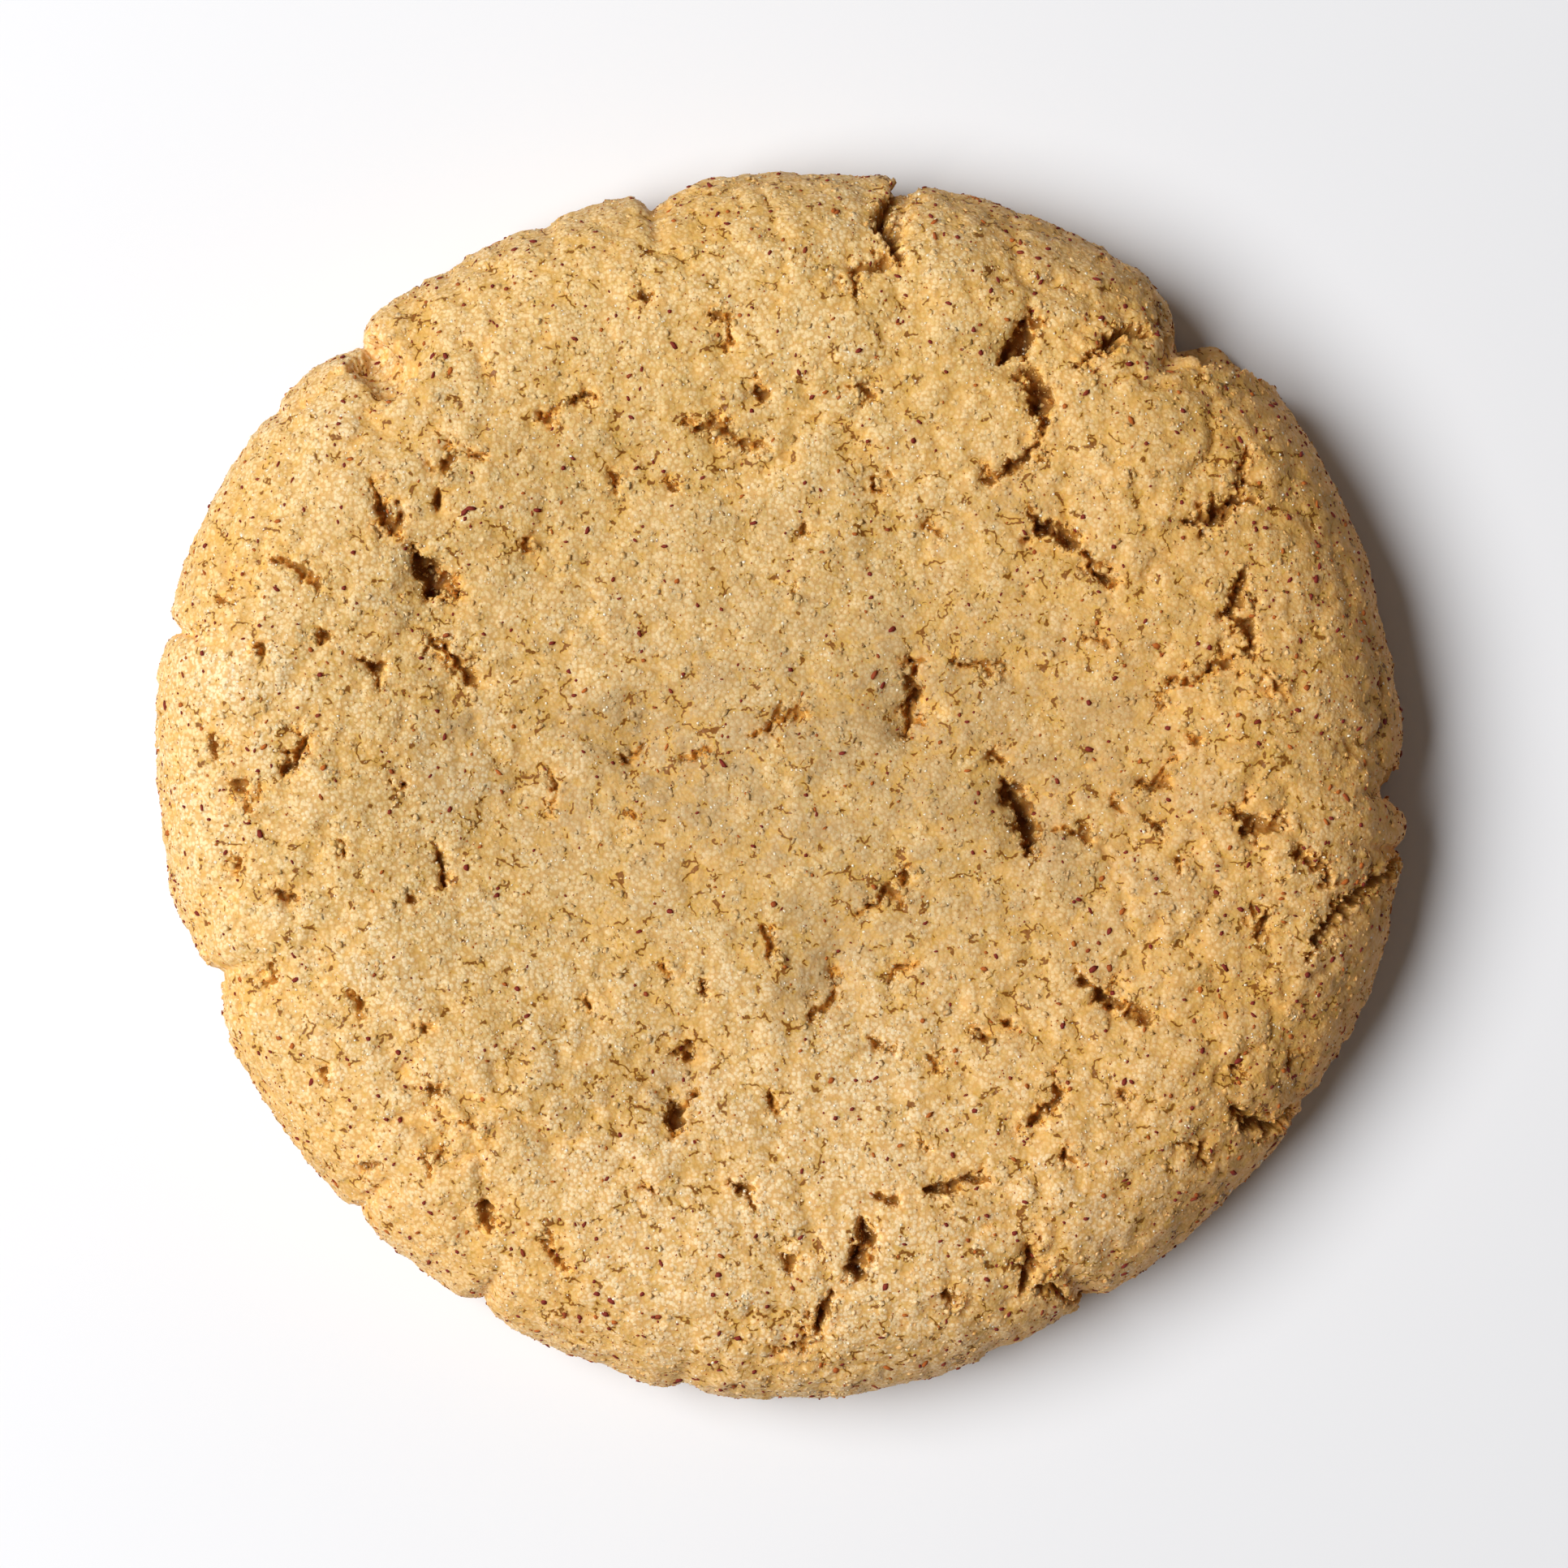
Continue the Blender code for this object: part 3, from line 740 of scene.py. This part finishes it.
# ---------------------------------------------------------------- finishes
class Nodes:
    """Short forms for building a material's nodes."""

    def __init__(self, name):
        self.material = bpy.data.materials.new(name)
        self.material.use_nodes = True
        self.tree = self.material.node_tree
        self.shader = self.tree.nodes["Principled BSDF"]
        self.coords = self.tree.nodes.new("ShaderNodeTexCoord").outputs["Object"]

    def link(self, value, socket):
        if hasattr(value, "is_output"):
            self.tree.links.new(value, socket)
        else:
            socket.default_value = value

    def noise(self, per_mm, detail=2.0, rough=0.5, warp=0.0, at=None):
        node = self.tree.nodes.new("ShaderNodeTexNoise")
        self.link(self.coords if at is None else at, node.inputs["Vector"])
        node.inputs["Scale"].default_value = per_mm * 1000.0
        node.inputs["Detail"].default_value = detail
        node.inputs["Roughness"].default_value = rough
        node.inputs["Distortion"].default_value = warp
        return node.outputs["Fac"]

    def cells(self, per_mm, feature="F1", at=None, output="Distance", randomness=1.0):
        node = self.tree.nodes.new("ShaderNodeTexVoronoi")
        node.feature = feature
        self.link(self.coords if at is None else at, node.inputs["Vector"])
        node.inputs["Scale"].default_value = per_mm * 1000.0
        node.inputs["Randomness"].default_value = randomness
        return node.outputs[output]

    def crooked(self, per_mm, push_mm, detail=2.0):
        """Coordinates pushed about by a noise."""
        node = self.tree.nodes.new("ShaderNodeTexNoise")
        self.link(self.coords, node.inputs["Vector"])
        node.inputs["Scale"].default_value = per_mm * 1000.0
        node.inputs["Detail"].default_value = detail
        node.inputs["Roughness"].default_value = 0.65
        push = self.tree.nodes.new("ShaderNodeVectorMath")
        push.operation = "MULTIPLY_ADD"
        self.link(node.outputs["Color"], push.inputs[0])
        push.inputs[1].default_value = (push_mm * MM,) * 3
        self.link(self.coords, push.inputs[2])
        return push.outputs[0]

    def attribute(self, name):
        node = self.tree.nodes.new("ShaderNodeAttribute")
        node.attribute_name = name
        return node.outputs["Fac"]

    def math(self, kind, a, b=0.0, c=None):
        node = self.tree.nodes.new("ShaderNodeMath")
        node.operation = kind
        self.link(a, node.inputs[0])
        self.link(b, node.inputs[1])
        if c is not None:
            self.link(c, node.inputs[2])
        return node.outputs[0]

    def steps(self, value, low, high, to_low=0.0, to_high=1.0):
        node = self.tree.nodes.new("ShaderNodeMapRange")
        node.interpolation_type = "SMOOTHSTEP"
        self.link(value, node.inputs["Value"])
        for socket, number in zip(("From Min", "From Max", "To Min", "To Max"), (low, high, to_low, to_high)):
            node.inputs[socket].default_value = number
        return node.outputs["Result"]

    def mix(self, factor, a, b, blend="MIX"):
        node = self.tree.nodes.new("ShaderNodeMix")
        node.data_type = "RGBA"
        node.blend_type = blend
        self.link(factor, node.inputs["Factor"])
        self.link(a, node.inputs["A"])
        self.link(b, node.inputs["B"])
        return node.outputs["Result"]

    def bump(self, height, strength, distance_mm, under=None):
        node = self.tree.nodes.new("ShaderNodeBump")
        node.inputs["Strength"].default_value = strength
        node.inputs["Distance"].default_value = distance_mm * MM
        self.link(height, node.inputs["Height"])
        if under is not None:
            self.link(under, node.inputs["Normal"])
        return node.outputs["Normal"]

    def set(self, **sockets):
        for name, value in sockets.items():
            self.link(value, self.shader.inputs[name.replace("_", " ")])


def rgb(r, g, b):
    return (r, g, b, 1.0)


CREAM = rgb(0.890, 0.705, 0.415)
DOUGH = rgb(0.835, 0.590, 0.270)
GOLD = rgb(0.690, 0.420, 0.100)
SHADE_COLOUR = rgb(0.360, 0.230, 0.110)
TOASTED_AND_SHADED = rgb(0.780, 0.340, 0.072)
SPLIT_SHADE = rgb(0.210, 0.060, 0.002)
TORN = rgb(0.490, 0.245, 0.046)
TEAR_BOTTOM_SHADE = rgb(0.200, 0.076, 0.012)
CRUST = rgb(0.350, 0.165, 0.050)
SPICE = rgb(0.210, 0.026, 0.018)
RUST = rgb(0.480, 0.130, 0.022)


def dough_colour(n, grain):
    """The dough from golden valleys to cream plates, grain by grain, with painted shade in the valleys, between the
    grains and in the hollows, and a toasted rim that is partly painted shade on the side away from the light.
    """
    sand = n.tree.nodes.new("ShaderNodeTexVoronoi")
    n.link(n.coords, sand.inputs["Vector"])
    sand.inputs["Scale"].default_value = 3700.0
    parts = n.tree.nodes.new("ShaderNodeSeparateColor")
    n.link(sand.outputs["Color"], parts.inputs[0])
    pale_and_painted_light = n.attribute("pale_and_painted_light")
    # Low paleness turns golden: random tone, and painted shade in the valleys.
    colour = n.mix(n.steps(pale_and_painted_light, 0.50, 0.85), DOUGH, CREAM)
    colour = n.mix(n.steps(pale_and_painted_light, 0.50, 0.10, 0.0, 0.62), colour, GOLD)
    colour = n.mix(n.steps(grain, 0.50, 0.66, 0.0, 0.45), colour, rgb(0.93, 0.675, 0.330))
    colour = n.mix(n.steps(grain, 0.49, 0.36, 0.0, 0.62), colour, GOLD)
    colour = n.mix(n.steps(parts.outputs[0], 0.55, 1.0, 0.0, 0.40), colour, rgb(0.95, 0.73, 0.42))
    colour = n.mix(n.steps(parts.outputs[1], 0.60, 1.0, 0.0, 0.38), colour, rgb(0.60, 0.33, 0.060))
    # Painted shade in the gaps between the sand grains.
    colour = n.mix(n.steps(sand.outputs["Distance"], 0.40, 0.70, 0.0, 0.75), colour, rgb(0.64, 0.335, 0.074))
    # Painted shade in the hollows and across the middle.
    colour = n.mix(n.math("MULTIPLY", n.attribute("painted_shade"), 0.55), colour, SHADE_COLOUR)
    # Toasting, partly painted shade on the side away from the light.
    colour = n.mix(n.math("MULTIPLY", n.attribute("toast_and_shade"), 0.85), colour, TOASTED_AND_SHADED)
    return colour, parts.outputs[2], sand.outputs["Distance"]


def body_material():
    n = Nodes("baked_dough_crust")
    grain = n.noise(1.6, 2.0, 0.70)
    colour, pick, between = dough_colour(n, grain)
    # Painted shade along the splits between the plates and crumbs: where the gap, made ragged by the grain, closes to
    # nothing.
    ragged = n.math("MULTIPLY_ADD", grain, 1.4, -0.7)
    gap = n.math("ADD", n.attribute("gap"), ragged)
    colour = n.mix(n.steps(gap, 0.60, 0.08, 0.0, 0.52), colour, rgb(0.66, 0.37, 0.085))
    # And short thin splits all over, thickest in the valleys, drawn only as painted shade: dark lines on parts of the
    # edges of crooked cells.
    line = n.cells(0.60, "DISTANCE_TO_EDGE", at=n.crooked(1.9, 0.80, 1.0))
    line = n.math("ADD", line, n.steps(grain, 0.50, 0.75, 0.0, 0.10))
    shown = n.math("MULTIPLY_ADD", n.attribute("split"), 0.22, n.noise(0.95, 1.0))
    line = n.math("ADD", line, n.steps(shown, 0.715, 0.555, 0.0, 0.16))
    colour = n.mix(n.steps(line, 0.15, 0.06, 0.0, 0.60), colour, rgb(0.64, 0.36, 0.055))
    colour = n.mix(n.steps(line, 0.065, 0.030, 0.0, 0.92), colour, SPLIT_SHADE)
    # Inside the tears: the torn crumb's colour, with painted shade darkening it towards the bottom.
    inside = n.math("MULTIPLY_ADD", grain, 0.6, -0.3)
    inside = n.steps(n.math("ADD", n.attribute("tear"), inside), -0.04, 0.05)
    colour = n.mix(inside, colour, n.mix(n.attribute("deep"), TORN, TEAR_BOTTOM_SHADE))
    crust = n.mix(n.steps(grain, 0.38, 0.62), rgb(0.230, 0.100, 0.030), CRUST)
    crust = n.mix(n.steps(between, 0.30, 0.10, 0.0, 0.45), crust, rgb(0.150, 0.060, 0.018))
    colour = n.mix(n.attribute("low"), colour, crust)
    relief = n.math("MULTIPLY_ADD", between, -0.60, grain)
    n.set(Base_Color=colour, Roughness=n.steps(pick, 0.75, 1.0, 0.60, 0.35), Normal=n.bump(relief, 0.58, 0.15))
    n.shader.subsurface_method = "BURLEY"
    n.set(Subsurface_Weight=0.75, Subsurface_Radius=(1.0, 0.52, 0.24), Subsurface_Scale=0.75 * MM,
          Specular_IOR_Level=0.22)
    return n.material


def grain_material(name):
    """Crumb that stands on the crust, in the crust's colour at its place, its painted light and shade included."""
    n = Nodes(name)
    grain = n.noise(2.6, 2.0, 0.6)
    colour, pick, between = dough_colour(n, n.math("MULTIPLY_ADD", n.attribute("tone"), 0.24, 0.39))
    n.set(Base_Color=colour, Roughness=n.steps(pick, 0.6, 1.0, 0.60, 0.30), Normal=n.bump(grain, 0.8, 0.16))
    n.set(Specular_IOR_Level=0.25)
    return n.material


def sugar_material():
    n = Nodes("sugar_crystal")
    cloud = n.noise(2.2, 2.0, 0.5)
    colour = n.mix(n.steps(cloud, 0.3, 0.7), rgb(0.88, 0.72, 0.44), rgb(0.95, 0.87, 0.68))
    n.set(Base_Color=colour, Roughness=n.steps(n.attribute("tone"), 0.0, 1.0, 0.08, 0.30), Normal=n.bump(cloud, 0.3, 0.03))
    n.set(Specular_IOR_Level=0.8)
    return n.material


def spice_material(name, faded):
    """Ground cinnamon: dark red-brown chips, some of them rusty."""
    n = Nodes(name)
    fibre = n.noise(6.0, 2.0, 0.6)
    colour = n.mix(n.steps(n.attribute("tone"), 0.80 - 0.75 * faded, 1.0 - 0.5 * faded), SPICE, RUST)
    colour = n.mix(n.steps(fibre, 0.4, 0.7, 0.0, 0.3), colour, rgb(0.27, 0.06, 0.02))
    n.set(Base_Color=colour, Roughness=n.steps(fibre, 0.3, 0.7, 0.55, 0.75), Normal=n.bump(fibre, 0.4, 0.03))
    n.set(Specular_IOR_Level=0.10)
    return n.material


# ---------------------------------------------------------------- build
shape_of_body = body_shape()
print("body", len(shape_of_body["points"]), "points", len(shape_of_body["faces"]), "faces")
body = make_object("biscuit_body", shape_of_body["points"], shape_of_body["faces"], body_material(),
                   attributes=[(key, shape_of_body[key]) for key in ("tear", "gap", "deep", "low", "pale_and_painted_light", "painted_shade", "toast_and_shade", "split")])
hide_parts("cookie")
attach(body, "root")

scatter = Scatter(shape_of_body["points"], shape_of_body["top_faces"])
height = scatter.centre[:, 2]
reach = np.hypot(scatter.centre[:, 0], scatter.centre[:, 1]) / 41.0
rng = np.random.default_rng(99)


def scattered(count, density, smallest, largest, flatness=1.0):
    place, normal, corner = scatter.pick(rng, count, density)
    size = smallest * (largest / smallest) ** (rng.random(count) ** 1.6)
    radii = np.column_stack((size * rng.uniform(0.8, 1.25, count), size * rng.uniform(0.7, 1.0, count), size * flatness))
    return place, normal, radii / 2, corner


upper = np.where(height > 0.25, 1.0, 0.0) * np.where(height < WAIST, 0.6, 1.0)
tear_here = shape_of_body["tear"][shape_of_body["top_faces"]].mean(1)
crumby = upper * np.where(tear_here > 0.0, 0.9, 1.0 + 4.5 * np.exp(tear_here / 0.14))
dusty = upper * (0.7 + 1.1 * np.clip((reach - 0.72) / 0.25, 0.0, 1.0)) * np.where(tear_here > 0.0, 0.2, 1.0)
dusty *= 1.0 + 0.6 * np.clip(scatter.centre[:, 0] / 30.0, 0.0, 1.0)

place, normal, radii, corner = scattered(24000, crumby, 0.17, 0.36, 0.8)
make_bits("fine_crumb", rng, "octahedron", place, normal, radii, corner, 0.50, 0.3, grain_material("fine_crumb_grain"))
place, normal, radii, corner = scattered(9500, crumby, 0.28, 0.62, 0.45)
make_bits("crumb_flakes", rng, "ball", place, normal, radii, corner, 0.55, 0.50, grain_material("crumb_flake_grain"), lie_flat=True)
place, normal, radii, corner = scattered(4000, upper, 0.16, 0.30)
make_bits("sugar_crystals", rng, "cube", place, normal, radii, corner, 0.50, 0.12, sugar_material(), smooth=False)
place, normal, radii, corner = scattered(5500, dusty, 0.11, 0.20, 0.6)
make_bits("cinnamon_dust", rng, "octahedron", place, normal, radii, corner, -0.3, 0.3, spice_material("cinnamon_dust_grain", 1.0), lie_flat=True)
place, normal, radii, corner = scattered(1900, dusty, 0.20, 0.44, 0.40)
radii[:, 0] *= rng.uniform(0.9, 1.7, len(radii))
make_bits("cinnamon_flecks", rng, "ball", place, normal, radii, corner, -0.5, 0.28, spice_material("cinnamon_fleck", 0.3), lie_flat=True, smooth=False)

# ---------------------------------------------------------------- floor, light, camera
floor_material = Nodes("pale_floor")
floor_material.set(Base_Color=floor_material.mix(floor_material.noise(0.01, 2.0), rgb(0.86, 0.86, 0.87), rgb(0.84, 0.84, 0.85)),
                   Roughness=0.6)
bpy.ops.mesh.primitive_plane_add(size=3.0, location=(0, 0, 0))
floor = bpy.context.object
floor.name = "floor"
floor.data.materials.append(floor_material.material)

world = bpy.data.worlds.new("soft_room")
bpy.context.scene.world = world
world.use_nodes = True
world.node_tree.nodes["Background"].inputs["Color"].default_value = (1.0, 0.88, 0.80, 1.0)
world.node_tree.nodes["Background"].inputs["Strength"].default_value = 0.09


def area_light(name, place, wide, high, watts, colour=(1.0, 1.0, 1.0)):
    data = bpy.data.lights.new(name, "AREA")
    data.shape = "ELLIPSE"
    data.size = wide
    data.size_y = high
    data.energy = watts
    data.color = colour
    obj = bpy.data.objects.new(name, data)
    obj.location = place
    obj.rotation_euler = (-Vector(place)).to_track_quat("-Z", "Y").to_euler()
    bpy.context.scene.collection.objects.link(obj)
    return obj


area_light("key", (-0.60, 0.02, 0.75), 1.00, 0.60, 13.6, (0.975, 0.985, 1.0))

camera_data = bpy.data.cameras.new("camera")
camera_data.sensor_width = 36.0
camera_data.lens = 100.0
camera = bpy.data.objects.new("camera", camera_data)
camera.location = (5.5 * UNIT * MM, 2.0 * UNIT * MM, 0.2883 * (1932 * UNIT / 103.8) + WAIST * MM)
bpy.context.scene.collection.objects.link(camera)
bpy.context.scene.camera = camera
bpy.context.scene.view_settings.view_transform = "Standard"
